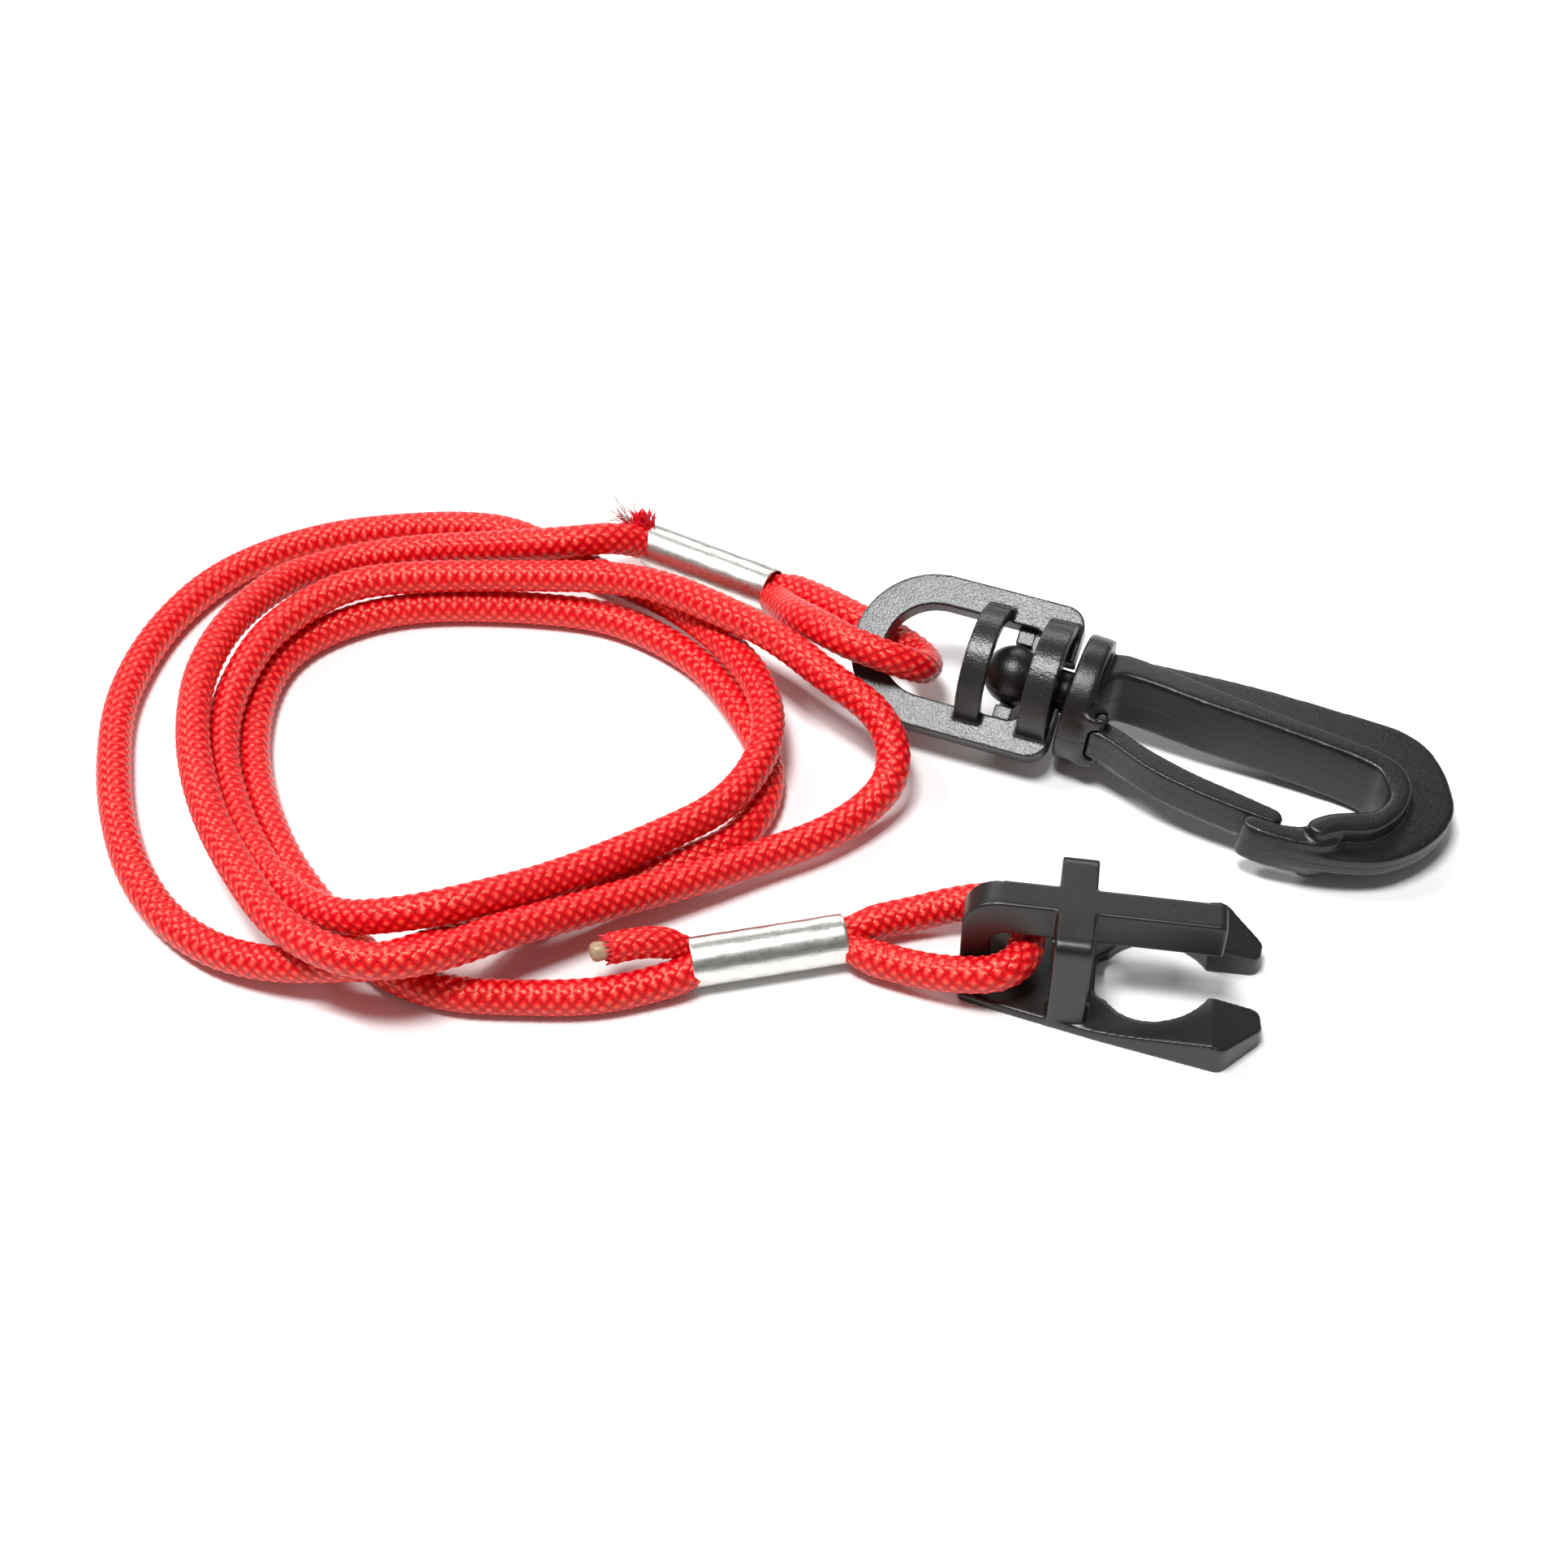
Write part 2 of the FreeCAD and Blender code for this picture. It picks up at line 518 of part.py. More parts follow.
TAIL_HOOK_END = [(-47.6, 42.5, 4.9), (-49.2, 43.0, 6.4), (-50.9, 43.5, 7.9)]
CORE_HOOK_END = [(-50.4, 43.8, 6.6), (-52.6, 43.5, 7.0), (-54.7, 42.9, 6.9)]
TAIL_KEY_END = [(-40.8, -28.8, 3.8), (-43.4, -29.2, 5.2), (-46.4, -29.8, 6.0), (-49.8, -31.0, 6.1)]
CORE_KEY_END = [(-49.8, -31.0, 6.1), (-50.9, -31.4, 6.1), (-52.0, -31.9, 6.0)]

# ---------------------------------------------------------------- the assembly

PIECES = [
    make_swivel_eye(),
    make_hook_body(),
    make_hook_gate(),
    make_stop_switch_key(),
    make_ferrule("crimp_ferrule_hook_end", FERRULE_HOOK_END),
    make_ferrule("crimp_ferrule_key_end", FERRULE_KEY_END),
    make_squeezed_cord("squeezed_cord_hook_end", FERRULE_HOOK_END),
    make_squeezed_cord("squeezed_cord_key_end", FERRULE_KEY_END),
    make_cord("cord_lay", LAY_ROUTE, "cord_diameter"),
    make_cord("cord_hook_eye", EYE_LOOP, "cord_diameter", EYE_PLACE),
    make_cord("cord_key_eye", KEY_LOOP, "cord_diameter", KEY_PLACE),
    make_cord("cord_tail_hook_end", TAIL_HOOK_END, "tail_diameter"),
    make_cord("cord_tail_key_end", TAIL_KEY_END, "tail_diameter"),
    make_cord("core_end_hook_end", CORE_HOOK_END, "core_diameter"),
    make_cord("core_end_key_end", CORE_KEY_END, "core_diameter"),
]
doc.recompute()

for thing in doc.Objects:
    if "Invalid" in thing.State or "Error" in thing.State:
        raise RuntimeError(f"{thing.Label} did not compute: {thing.State}")

os.makedirs("parts", exist_ok=True)
for piece in PIECES:
    if piece.Shape.isNull() or not piece.Shape.isValid():
        raise RuntimeError(f"{piece.Label} has no valid shape")
    piece.Shape.exportStep(f"parts/{piece.Label}.step")
    box = piece.Shape.BoundBox
    print(
        f"{piece.Label}: {len(piece.Shape.Solids)} solid, {piece.Shape.Volume:.1f} mm3, "
        f"x {box.XMin:.2f} {box.XMax:.2f}, y {box.YMin:.2f} {box.YMax:.2f}, z {box.ZMin:.2f} {box.ZMax:.2f}"
    )
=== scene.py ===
import math

import bmesh
import bpy
import numpy as np
from mathutils import Matrix, Vector, noise


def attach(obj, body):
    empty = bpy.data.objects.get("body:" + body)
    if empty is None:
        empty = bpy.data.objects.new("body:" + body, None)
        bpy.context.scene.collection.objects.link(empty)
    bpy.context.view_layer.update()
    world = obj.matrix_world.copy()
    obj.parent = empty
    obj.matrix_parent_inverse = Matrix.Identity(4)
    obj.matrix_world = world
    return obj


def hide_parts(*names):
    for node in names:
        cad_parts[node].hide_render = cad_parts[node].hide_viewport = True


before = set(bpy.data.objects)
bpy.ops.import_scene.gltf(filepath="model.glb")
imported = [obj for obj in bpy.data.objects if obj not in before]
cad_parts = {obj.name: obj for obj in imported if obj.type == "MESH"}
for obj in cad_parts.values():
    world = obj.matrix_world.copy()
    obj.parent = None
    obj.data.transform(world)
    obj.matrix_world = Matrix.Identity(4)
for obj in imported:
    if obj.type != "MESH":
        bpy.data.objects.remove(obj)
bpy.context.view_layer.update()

MM = 0.001

# ---------------------------------------------------------------- where the CAD places the pieces


def lay_down(origin, yaw, tilt=0.0, roll=0.0):
    """Matrix from a piece's own frame, in millimetres, to the row frame, in metres."""
    turn = Matrix.Rotation(math.radians(yaw), 4, "Z")
    turn = turn @ Matrix.Rotation(math.radians(-tilt), 4, "Y")
    turn = turn @ Matrix.Rotation(math.radians(roll), 4, "X")
    return Matrix.Translation(Vector(origin) * MM) @ turn @ Matrix.Scale(MM, 4)


HOOK = lay_down((7.8, 6.5, 7.78), -20.9, -5.4)
EYE = lay_down((7.84, 6.48, 8.59), -20.9, -1.0, 29.5)
KEY = lay_down((1.88, -30.22, 0.0), -8.5)
FERRULE_HOOK_END = (Vector((-47.5, 41.0, 3.4)) * MM, Vector((-31.5, 30.8, 4.4)) * MM)
FERRULE_KEY_END = (Vector((-40.5, -30.2, 2.9)) * MM, Vector((-23.2, -26.6, 2.9)) * MM)

CORD_RADIUS = 2.02 * MM
FERRULE_RADIUS = 2.9 * MM
FERRULE_WALL = 0.3 * MM

# The loose turns of cord, in metres in the row frame, from one ferrule to the other.
ROUTE_START_INSIDE = (-0.0457, 0.0398, 0.0035)
LAY_ROUTE = [
    (-0.0475, 0.0409, 0.0034), (-0.0520, 0.0389, 0.0066), (-0.0595, 0.0369, 0.0072),
    (-0.0685, 0.0384, 0.0054), (-0.0765, 0.0394, 0.0042), (-0.0840, 0.0384, 0.0038),
    (-0.0900, 0.0359, 0.0042), (-0.0950, 0.0309, 0.0058), (-0.0990, 0.0219, 0.0078),
    (-0.1010, 0.0124, 0.0088), (-0.1010, 0.0044, 0.0086), (-0.0995, -0.0036, 0.0084),
    (-0.0960, -0.0131, 0.0082), (-0.0915, -0.0211, 0.0084), (-0.0860, -0.0296, 0.0092),
    (-0.0795, -0.0346, 0.0098), (-0.0730, -0.0361, 0.0098), (-0.0665, -0.0336, 0.0090),
    (-0.0610, -0.0296, 0.0078), (-0.0545, -0.0261, 0.0064), (-0.0475, -0.0221, 0.0050),
    (-0.0400, -0.0186, 0.0040), (-0.0325, -0.0146, 0.0034), (-0.0260, -0.0116, 0.0032),
    (-0.0205, -0.0076, 0.0036), (-0.0170, -0.0036, 0.0050), (-0.0170, 0.0009, 0.0072),
    (-0.0195, 0.0049, 0.0088), (-0.0245, 0.0084, 0.0100), (-0.0305, 0.0149, 0.0106),
    (-0.0375, 0.0204, 0.0102), (-0.0455, 0.0264, 0.0092), (-0.0530, 0.0299, 0.0076),
    (-0.0615, 0.0309, 0.0068), (-0.0700, 0.0314, 0.0064), (-0.0780, 0.0314, 0.0062),
    (-0.0855, 0.0299, 0.0064), (-0.0910, 0.0254, 0.0064), (-0.0950, 0.0199, 0.0064),
    (-0.0970, 0.0134, 0.0062), (-0.0980, 0.0074, 0.0056), (-0.0975, 0.0004, 0.0052),
    (-0.0950, -0.0076, 0.0050), (-0.0910, -0.0161, 0.0052), (-0.0860, -0.0226, 0.0058),
    (-0.0800, -0.0271, 0.0070), (-0.0740, -0.0286, 0.0090), (-0.0680, -0.0281, 0.0098),
    (-0.0620, -0.0256, 0.0092), (-0.0565, -0.0221, 0.0076), (-0.0500, -0.0181, 0.0068),
    (-0.0435, -0.0136, 0.0062), (-0.0375, -0.0096, 0.0062), (-0.0335, -0.0041, 0.0066),
    (-0.0315, 0.0034, 0.0066), (-0.0330, 0.0119, 0.0064), (-0.0380, 0.0204, 0.0058),
    (-0.0445, 0.0284, 0.0046), (-0.0530, 0.0349, 0.0030), (-0.0600, 0.0409, 0.0022),
    (-0.0665, 0.0454, 0.0022), (-0.0740, 0.0464, 0.0022), (-0.0820, 0.0459, 0.0022),
    (-0.0900, 0.0444, 0.0022), (-0.0980, 0.0409, 0.0022), (-0.1045, 0.0354, 0.0022),
    (-0.1090, 0.0279, 0.0022), (-0.1115, 0.0199, 0.0022), (-0.1125, 0.0114, 0.0022),
    (-0.1115, 0.0029, 0.0022), (-0.1095, -0.0061, 0.0022), (-0.1060, -0.0151, 0.0022),
    (-0.1010, -0.0226, 0.0022), (-0.0945, -0.0281, 0.0026), (-0.0870, -0.0311, 0.0036),
    (-0.0795, -0.0326, 0.0056), (-0.0735, -0.0331, 0.0066), (-0.0680, -0.0301, 0.0062),
    (-0.0630, -0.0271, 0.0042), (-0.0580, -0.0226, 0.0028), (-0.0525, -0.0196, 0.0022),
    (-0.0465, -0.0171, 0.0022), (-0.0405, -0.0141, 0.0022), (-0.0350, -0.0106, 0.0022),
    (-0.0320, -0.0041, 0.0022), (-0.0320, 0.0029, 0.0022), (-0.0350, 0.0104, 0.0022),
    (-0.0395, 0.0184, 0.0022), (-0.0460, 0.0244, 0.0022), (-0.0530, 0.0284, 0.0022),
    (-0.0620, 0.0299, 0.0022), (-0.0705, 0.0304, 0.0022), (-0.0785, 0.0299, 0.0022),
    (-0.0850, 0.0279, 0.0022), (-0.0910, 0.0239, 0.0022), (-0.0945, 0.0184, 0.0022),
    (-0.0955, 0.0109, 0.0022), (-0.0945, 0.0019, 0.0022), (-0.0915, -0.0071, 0.0022),
    (-0.0875, -0.0151, 0.0022), (-0.0830, -0.0216, 0.0022), (-0.0790, -0.0266, 0.0022),
    (-0.0735, -0.0316, 0.0022), (-0.0670, -0.0341, 0.0022), (-0.0595, -0.0346, 0.0022),
    (-0.0515, -0.0346, 0.0022), (-0.0455, -0.0331, 0.0022), (-0.0405, -0.0316, 0.0028),
]
ROUTE_END_INSIDE = (-0.0388, -0.0301, 0.0029)

# ---------------------------------------------------------------- camera, light and floor


def add_camera():
    camera = bpy.data.cameras.new("camera")
    camera.lens = 54.04
    camera.sensor_width = 36.0
    camera.clip_start = 0.01
    place = bpy.data.objects.new("camera", camera)
    place.location = (-0.0300, -0.1981, 0.2055)
    place.rotation_euler = (math.radians(44.0), 0.0, 0.0)
    bpy.context.scene.collection.objects.link(place)
    bpy.context.scene.camera = place


def add_area_light(name, place, target, size, power):
    light = bpy.data.lights.new(name, "AREA")
    light.shape = "RECTANGLE"
    light.size, light.size_y = size
    light.energy = power
    lamp = bpy.data.objects.new(name, light)
    lamp.location = place
    lamp.rotation_euler = (Vector(target) - Vector(place)).to_track_quat("-Z", "Y").to_euler()
    bpy.context.scene.collection.objects.link(lamp)


def add_light():
    world = bpy.data.worlds.new("studio")
    world.use_nodes = True
    background = world.node_tree.nodes["Background"]
    background.inputs["Color"].default_value = (1.0, 0.99, 0.98, 1.0)
    background.inputs["Strength"].default_value = 0.18
    bpy.context.scene.world = world
    add_area_light("overhead_box", (-0.12, -0.10, 0.60), (-0.02, 0.01, 0.0), (0.18, 0.12), 3.7)
    add_area_light("left_box", (-0.36, 0.10, 0.44), (-0.03, 0.0, 0.0), (0.10, 0.10), 1.5)
    add_area_light("back_wash", (0.0, 0.60, 0.42), (0.0, 0.16, 0.0), (0.60, 0.10), 1.6)


def add_floor():
    bpy.ops.mesh.primitive_plane_add(size=3.0, location=(0.0, 0.0, 0.0))
    floor = bpy.context.object
    floor.name = "floor"
    floor.data.materials.append(floor_material())


# ---------------------------------------------------------------- node material helpers


class Nodes:
    """A short way to write a node material."""

    def __init__(self, name):
        self.material = bpy.data.materials.new(name)
        self.material.use_nodes = True
        self.tree = self.material.node_tree
        self.shader = self.tree.nodes["Principled BSDF"]

    def add(self, kind, **settings):
        node = self.tree.nodes.new(kind)
        for key, value in settings.items():
            setattr(node, key, value)
        return node

    def link(self, source, target):
        self.tree.links.new(source, target)

    def set(self, **values):
        for key, value in values.items():
            self.shader.inputs[key.replace("_", " ")].default_value = value

    def math(self, operation, first, second=None):
        node = self.add("ShaderNodeMath", operation=operation)
        for socket, value in zip(node.inputs, (first, second)):
            if value is None:
                continue
            if isinstance(value, (int, float)):
                socket.default_value = value
            else:
                self.link(value, socket)
        return node.outputs[0]

    def noise(self, coordinates, scale, detail=3.0, roughness=0.5):
        node = self.add("ShaderNodeTexNoise")
        node.inputs["Scale"].default_value = scale
        node.inputs["Detail"].default_value = detail
        node.inputs["Roughness"].default_value = roughness
        self.link(coordinates, node.inputs["Vector"])
        return node.outputs["Fac"]

    def ramp(self, factor, stops):
        node = self.add("ShaderNodeValToRGB")
        elements = node.color_ramp.elements
        while len(elements) < len(stops):
            elements.new(0.5)
        for element, (position, colour) in zip(elements, stops):
            element.position = position
            element.color = (*colour, 1.0)
        self.link(factor, node.inputs["Fac"])
        return node.outputs["Color"]

    def mix(self, factor, first, second):
        node = self.add("ShaderNodeMix", data_type="RGBA")
        for socket, value in ((node.inputs[0], factor), (node.inputs[6], first), (node.inputs[7], second)):
            if isinstance(value, (int, float)):
                socket.default_value = value
            elif isinstance(value, tuple):
                socket.default_value = (*value, 1.0)
            else:
                self.link(value, socket)
        return node.outputs[2]

    def bump(self, height, strength, distance, under=None):
        node = self.add("ShaderNodeBump")
        node.inputs["Strength"].default_value = strength
        node.inputs["Distance"].default_value = distance
        self.link(height, node.inputs["Height"])
        if under is not None:
            self.link(under, node.inputs["Normal"])
        return node.outputs["Normal"]

    def place(self):
        return self.add("ShaderNodeTexCoord").outputs["Object"]

    def attribute(self, name):
        return self.add("ShaderNodeAttribute", attribute_name=name)


# Relief of the braid that is too fine for its mesh.
FILAMENTS = 5
FILAMENT_SHARE = 0.045
FUZZ_SHARE = 0.16
YARN_HEIGHT = 0.12 * MM


def floor_material():
    n = Nodes("white_surface")
    tone = n.ramp(n.noise(n.place(), 9.0), [(0.3, (0.90, 0.90, 0.90)), (0.7, (0.93, 0.93, 0.93))])
    n.link(tone, n.shader.inputs["Base Color"])
    n.set(Roughness=0.6, Specular_IOR_Level=0.2)
    return n.material


def braid_material():
    """Red plaited yarn, with painted shade in the valleys between crossings and a painted salmon highlight on
    their crests. The braid map holds the phase across each of the two sets of yarns.
    """
    n = Nodes("red_braid")
    split = n.add("ShaderNodeSeparateXYZ")
    n.link(n.add("ShaderNodeUVMap", uv_map="braid").outputs["UV"], split.inputs[0])
    one, other = split.outputs[0], split.outputs[1]
    parity = n.math("FLOORED_MODULO", n.math("ADD", n.math("FLOOR", one), n.math("FLOOR", other)), 2.0)
    across = n.math(
        "ADD", n.math("MULTIPLY", n.math("FRACT", one), n.math("SUBTRACT", 1.0, parity)),
        n.math("MULTIPLY", n.math("FRACT", other), parity),
    )
    along = n.math(
        "ADD", n.math("MULTIPLY", n.math("FRACT", other), n.math("SUBTRACT", 1.0, parity)),
        n.math("MULTIPLY", n.math("FRACT", one), parity),
    )
    crown = n.math("MULTIPLY", n.math("SINE", n.math("MULTIPLY", across, math.pi)),
                   n.math("SINE", n.math("MULTIPLY", along, math.pi)))
    filaments = n.math("SINE", n.math("MULTIPLY", across, 2 * math.pi * FILAMENTS))
    place = n.place()
    mottle = n.noise(place, 900.0, 4.0, 0.6)
    fuzz = n.noise(place, 4200.0, 3.0, 0.7)
    # Base colour over each yarn crossing: painted shade darkens the valleys and a painted salmon highlight
    # lightens the crests, while the mottle varies the tone at random.
    painted_shade_and_highlight = n.math("MULTIPLY", crown, n.math("ADD", 0.55, n.math("MULTIPLY", mottle, 0.9)))
    tone = n.ramp(painted_shade_and_highlight, [
        (0.0, (0.36, 0.0, 0.004)), (0.16, (0.66, 0.001, 0.008)),
        (0.62, (0.76, 0.002, 0.012)), (0.86, (0.90, 0.085, 0.055)),
    ])
    n.link(tone, n.shader.inputs["Base Color"])
    height = n.math("ADD", crown, n.math("MULTIPLY", filaments, FILAMENT_SHARE))
    height = n.math("ADD", height, n.math("MULTIPLY", fuzz, FUZZ_SHARE))
    n.link(n.bump(height, 0.8, YARN_HEIGHT), n.shader.inputs["Normal"])
    along_one = n.add("ShaderNodeTangent", direction_type="UV_MAP", uv_map="braid").outputs[0]
    along_other = n.add("ShaderNodeVectorMath", operation="CROSS_PRODUCT")
    n.link(n.add("ShaderNodeNewGeometry").outputs["Normal"], along_other.inputs[0])
    n.link(along_one, along_other.inputs[1])
    n.link(n.mix(parity, along_one, along_other.outputs[0]), n.shader.inputs["Tangent"])
    gloss = n.math("ADD", 0.20, n.math("MULTIPLY", mottle, 0.22))
    n.link(gloss, n.shader.inputs["Roughness"])
    n.set(Specular_IOR_Level=0.48, Specular_Tint=(1.0, 0.74, 0.52, 1.0), Anisotropic=0.50)
    return n.material


def plastic_material(name, dark, light, roughness, grain_size, grain_depth, sparkle=0.0, parting=False):
    """Moulded black plastic: grain from the mould, faint smears, pale specks and a parting line."""
    n = Nodes(name)
    place = n.place()
    smears = n.noise(place, 160.0, 5.0, 0.6)
    grain = n.noise(place, 1.0 / grain_size, 3.0, 0.65)
    specks = n.ramp(n.noise(place, 1500.0, 2.0), [(0.70, (0.0, 0.0, 0.0)), (0.78, (1.0, 1.0, 1.0))])
    colour = n.mix(smears, dark, light)
    colour = n.mix(n.math("MULTIPLY", specks, 0.25), colour, (0.16, 0.15, 0.14))
    n.link(colour, n.shader.inputs["Base Color"])
    rough = n.math("ADD", roughness - 0.06, n.math("MULTIPLY", smears, 0.12))
    rough = n.math("ADD", rough, n.math("MULTIPLY", grain, -sparkle))
    n.link(rough, n.shader.inputs["Roughness"])
    normal = n.bump(grain, 1.0, grain_depth)
    if parting:
        flash = n.math("ABSOLUTE", n.attribute("across_mould").outputs["Fac"])
        ridge = n.math("SUBTRACT", 1.0, n.math("MINIMUM", n.math("DIVIDE", flash, 0.09), 1.0))
        normal = n.bump(ridge, 0.9, 0.10 * MM, normal)
    n.link(normal, n.shader.inputs["Normal"])
    n.set(Specular_IOR_Level=0.5)
    return n.material


def metal_material():
    """Bright tinned sheet with drawn scratches, dull patches and dark specks."""
    n = Nodes("tinned_metal")
    place = n.attribute("tube_place").outputs["Vector"]
    stretch = n.add("ShaderNodeMapping")
    stretch.inputs["Scale"].default_value = (0.25, 3.0, 1.0)
    n.link(place, stretch.inputs["Vector"])
    streaks = n.noise(stretch.outputs[0], 3.2, 6.0, 0.65)
    blotches = n.noise(place, 1.3, 5.0, 0.7)
    specks = n.ramp(n.noise(place, 5.0, 2.0), [(0.66, (0.0, 0.0, 0.0)), (0.72, (1.0, 1.0, 1.0))])
    colour = n.ramp(streaks, [(0.25, (0.52, 0.51, 0.47)), (0.6, (0.86, 0.85, 0.81))])
    colour = n.mix(n.math("MULTIPLY", specks, 0.55), colour, (0.16, 0.15, 0.12))
    n.link(colour, n.shader.inputs["Base Color"])
    n.link(n.math("ADD", 0.18, n.math("MULTIPLY", blotches, 0.24)), n.shader.inputs["Roughness"])
    n.link(n.bump(streaks, 0.5, 0.03 * MM), n.shader.inputs["Normal"])
    n.set(Metallic=1.0)
    return n.material


def fibre_material(name, colour, clear):
    n = Nodes(name)
    tone = n.noise(n.place(), 2500.0, 3.0)
    n.link(n.mix(tone, tuple(0.75 * part for part in colour), colour), n.shader.inputs["Base Color"])
    n.link(n.bump(tone, 0.4, 0.03 * MM), n.shader.inputs["Normal"])
    n.set(Roughness=0.35, Transmission_Weight=clear, IOR=1.45)
    return n.material


# ---------------------------------------------------------------- mesh helpers


def mesh_object(name, points, faces, material, body, slot):
    """A smooth-shaded mesh that rides on a body."""
    mesh = bpy.data.meshes.new(name)
    mesh.from_pydata([tuple(point) for point in points], [], faces)
    mesh.update()
    return place_mesh(name, mesh, material, body)


def place_mesh(name, mesh, material, body):
    mesh.polygons.foreach_set("use_smooth", [True] * len(mesh.polygons))
    mesh.materials.clear()
    mesh.materials.append(material)
    piece = bpy.data.objects.new(name, mesh)
    bpy.context.scene.collection.objects.link(piece)
    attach(piece, body)
    return piece


def spline_line(route, step):
    """Evenly spaced points along the smooth NURBS spline whose control points are the route."""
    curve = bpy.data.curves.new("route", "CURVE")
    curve.dimensions = "3D"
    curve.resolution_u = 16
    spline = curve.splines.new("NURBS")
    spline.points.add(len(route) - 1)
    for point, place in zip(spline.points, route):
        point.co = (*place, 1.0)
    spline.order_u = 3
    spline.use_endpoint_u = True
    carrier = bpy.data.objects.new("route", curve)
    bpy.context.scene.collection.objects.link(carrier)
    mesh = bpy.data.meshes.new_from_object(carrier.evaluated_get(bpy.context.evaluated_depsgraph_get()))
    line = np.array([vertex.co for vertex in mesh.vertices])
    bpy.data.objects.remove(carrier)
    bpy.data.meshes.remove(mesh)
    reached = np.concatenate([[0.0], np.cumsum(np.linalg.norm(np.diff(line, axis=0), axis=1))])
    count = max(2, round(reached[-1] / step))
    marks = np.linspace(0.0, reached[-1], count + 1)
    return np.stack([np.interp(marks, reached, line[:, axis]) for axis in range(3)], axis=1), reached[-1]


def frames_along(line):
    """Two unit vectors across the line at each point, carried along without twist."""
    tangents = np.gradient(line, axis=0)
    tangents /= np.linalg.norm(tangents, axis=1)[:, None]
    side = np.cross(tangents[0], (0.0, 0.0, 1.0))
    side /= np.linalg.norm(side)
    sides = []
    for tangent in tangents:
        side = side - tangent * side.dot(tangent)
        side /= np.linalg.norm(side)
        sides.append(side)
    sides = np.array(sides)
    return sides, np.cross(tangents, sides)


YARNS = 8
AROUND = 4 * YARNS
CELL_LENGTH = 1.5 * MM
BRAID_STEP = CELL_LENGTH / 4
PILLOW = 0.15 * MM


def fract(values):
    return values - np.floor(values)


def braid_tube(name, route, radii, material, body):
    """Plaited cord on a route. radii is a list of (distance from the start, radius), and a negative
    distance counts from the end. Each crossing of two yarns is a small pillow, and the braid map holds
    the phases of the yarns."""
    line, length = spline_line(route, BRAID_STEP)
    sides, ups = frames_along(line)
    rings = len(line)
    marks = np.linspace(0.0, length, rings)
    stations = [(at if at >= 0 else length + at, radius) for at, radius in radii]
    radius = np.interp(marks, [at for at, _ in stations], [value for _, value in stations])
    k, m = np.meshgrid(np.arange(AROUND), np.arange(rings))
    one = (k - m) / 4
    other = (k + m) / 4
    pillow = np.sin(math.pi * fract(one)) * np.sin(math.pi * fract(other))
    unevenness = 0.03 * MM * np.sin(marks / (7.3 * MM)) + 0.02 * MM * np.sin(marks / (2.9 * MM) + 1.3)
    reach = (radius + unevenness)[:, None] + PILLOW * (pillow - 0.4)
    angle = 2 * math.pi * k / AROUND
    ring = np.cos(angle)[..., None] * sides[:, None, :] + np.sin(angle)[..., None] * ups[:, None, :]
    points = (line[:, None, :] + reach[..., None] * ring).reshape(-1, 3)
    points = np.vstack([points, line[:1], line[-1:]])
    faces = []
    phases = []
    for row in range(rings - 1):
        for column in range(AROUND):
            after = (column + 1) % AROUND
            faces.append((row * AROUND + column, row * AROUND + after,
                          (row + 1) * AROUND + after, (row + 1) * AROUND + column))
            for dk, dm in ((0, 0), (1, 0), (1, 1), (0, 1)):
                phases.append(((column + dk - row - dm) / 4, (column + dk + row + dm) / 4))
    for row, tip, order in ((0, len(points) - 2, -1), (rings - 1, len(points) - 1, 1)):
        for column in range(AROUND):
            pair = (row * AROUND + column, row * AROUND + (column + 1) % AROUND)[::order]
            faces.append((*pair, tip))
            phases.extend([(0.5, 0.5)] * 3)
    piece = mesh_object(name, points, faces, material, body, "red_braid")
    layer = piece.data.uv_layers.new(name="braid")
    layer.data.foreach_set("uv", np.array(phases, dtype=np.float32).ravel())
    return piece, line, length


def strand(points, radii, sides=6):
    """Closed tapered rod through a few points, as points and faces."""
    line = np.array(points)
    across, ups = frames_along(line)
    angles = np.arange(sides) * 2 * math.pi / sides
    ring = np.cos(angles)[:, None, None] * across[None] + np.sin(angles)[:, None, None] * ups[None]
    body = (line[None] + ring * np.array(radii)[None, :, None]).transpose(1, 0, 2).reshape(-1, 3)
    faces = []
    for row in range(len(line) - 1):
        for column in range(sides):
            after = (column + 1) % sides
            faces.append((row * sides + column, row * sides + after,
                          (row + 1) * sides + after, (row + 1) * sides + column))
    faces.append(tuple(range(sides))[::-1])
    faces.append(tuple((len(line) - 1) * sides + column for column in range(sides)))
    return body, faces


def join_strands(strands):
    points = []
    faces = []
    for body, its_faces in strands:
        faces.extend(tuple(index + len(points) for index in face) for face in its_faces)
        points.extend(body)
    return points, faces


def bent_line(start, direction, sag, length, count, generator):
    """A few points that leave start along direction and droop or curl by sag."""
    direction = np.array(direction) / np.linalg.norm(direction)
    curl = generator.normal(size=3)
    curl -= direction * curl.dot(direction)
    curl /= np.linalg.norm(curl)
    marks = np.linspace(0.0, 1.0, count)
    return [np.array(start) + length * (mark * direction + mark**2 * sag * curl) for mark in marks]


# ---------------------------------------------------------------- the moulded pieces


WELD_MM = 0.001
HALF_WAY = 0.5


